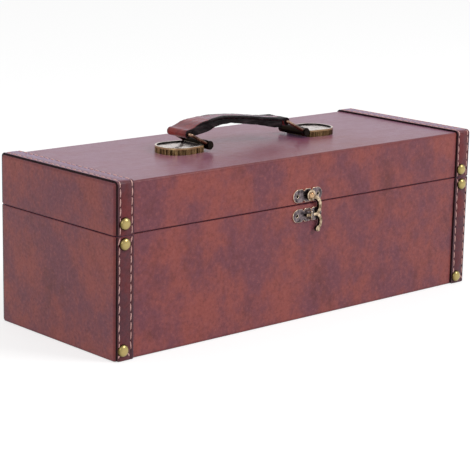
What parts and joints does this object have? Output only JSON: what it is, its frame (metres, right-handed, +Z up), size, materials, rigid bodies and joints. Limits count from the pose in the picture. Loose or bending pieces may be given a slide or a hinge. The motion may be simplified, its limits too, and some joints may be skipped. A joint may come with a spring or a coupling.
{
  "type": "wine box",
  "caption": "Leather-covered rectangular wine box with a hinged lid, brass swing clasp, end straps with domed nails and a folding carrying handle.",
  "frame": {"origin": "middle of the underside, on the surface the box stands on", "axes": "+X along the box's length, towards its right end seen from the front; front faces -Y; +Z up"},
  "size_m": [0.35, 0.139, 0.1439],
  "materials": {
    "box_leather": "mottled red-brown leatherette, fine grain, satin",
    "strap_leather": "darker red-brown leather, painted edge, satin",
    "nail_brass": "aged brass, domed, satin",
    "underside_cloth": "black felt",
    "velvet_lining": "dark wine velvet",
    "fibreboard": "raw fibreboard",
    "clasp_brass": "antique brass, darkened",
    "handle_leather": "glossy red-brown leather",
    "handle_edge_leather": "black painted leather edge",
    "handle_brass": "antique brass, polished",
    "screw_steel": "zinc plated",
    "hinge_brass": "antique brass"
  },
  "bodies": {
    "base": {"base_back_board": "fibreboard", "base_back_nails": "nail_brass", "base_bottom_board": "fibreboard", "base_bottom_cover": "underside_cloth", "base_front_board": "fibreboard", "base_front_nails": "nail_brass", "base_leather": "box_leather", "base_left_board": "fibreboard", "base_lining_back": "velvet_lining", "base_lining_floor": "velvet_lining", "base_lining_front": "velvet_lining", "base_lining_left": "velvet_lining", "base_lining_right": "velvet_lining", "base_right_board": "fibreboard", "base_strap_back_left": "strap_leather", "base_strap_back_right": "strap_leather", "base_strap_front_left": "strap_leather", "base_strap_front_right": "strap_leather", "bottle_body_rest": "velvet_lining", "bottle_neck_rest": "velvet_lining", "clasp_catch_pins": "clasp_brass", "clasp_catch_plate": "clasp_brass", "clasp_loop": "clasp_brass", "hinge_base_leaf_left": "hinge_brass", "hinge_base_leaf_right": "hinge_brass", "hinge_base_screws": "hinge_brass", "hinge_pin_left": "hinge_brass", "hinge_pin_right": "hinge_brass"},
    "lid": {"clasp_rivet": "clasp_brass", "clasp_top_pins": "clasp_brass", "clasp_top_plate": "clasp_brass", "handle_pin_left": "handle_brass", "handle_pin_right": "handle_brass", "handle_plate_left": "handle_brass", "handle_plate_right": "handle_brass", "handle_screws": "screw_steel", "hinge_lid_leaf_left": "hinge_brass", "hinge_lid_leaf_right": "hinge_brass", "hinge_lid_screws": "hinge_brass", "lid_back_board": "fibreboard", "lid_back_nails": "nail_brass", "lid_front_board": "fibreboard", "lid_front_nails": "nail_brass", "lid_leather": "box_leather", "lid_left_board": "fibreboard", "lid_lining_back": "velvet_lining", "lid_lining_front": "velvet_lining", "lid_lining_left": "velvet_lining", "lid_lining_right": "velvet_lining", "lid_lining_top": "velvet_lining", "lid_right_board": "fibreboard", "lid_strap_left": "strap_leather", "lid_strap_right": "strap_leather", "lid_top_board": "fibreboard"},
    "clasp_hook": {"clasp_hook": "clasp_brass"},
    "left_ring": {"handle_ring_left": "handle_brass"},
    "right_ring": {"handle_ring_right": "handle_brass"},
    "handle": {"handle_padding": "handle_edge_leather", "handle_top_leather": "handle_leather"}
  },
  "joints": [
    {"name": "lid_hinge", "type": "hinge", "parent": "base", "child": "lid", "pos_m": [0, 0.067, 0.0856], "axis": [-1, 0, 0], "range_deg": [0, 110]},
    {"name": "clasp_swing", "type": "hinge", "parent": "lid", "child": "clasp_hook", "pos_m": [0.0008, -0.067, 0.092], "axis": [0, -1, 0], "range_deg": [0, 118]},
    {"name": "ring_swing_left", "type": "hinge", "parent": "lid", "child": "left_ring", "pos_m": [-0.049, 0, 0.1256], "axis": [0, 1, 0], "range_deg": [0, 124.6]},
    {"name": "ring_swing_right", "type": "hinge", "parent": "lid", "child": "right_ring", "pos_m": [0.047, 0, 0.1256], "axis": [0, 1, 0], "range_deg": [0, 124.6]},
    {"name": "handle_turn", "type": "hinge", "parent": "left_ring", "child": "handle", "pos_m": [-0.06653, 0, 0.1348], "axis": [0, 1, 0], "range_deg": [-124.6, 0]}
  ],
  "couplings": [
    {"joint": "ring_swing_right", "follows": "ring_swing_left", "ratio": 1},
    {"joint": "handle_turn", "follows": "ring_swing_left", "ratio": -1}
  ]
}
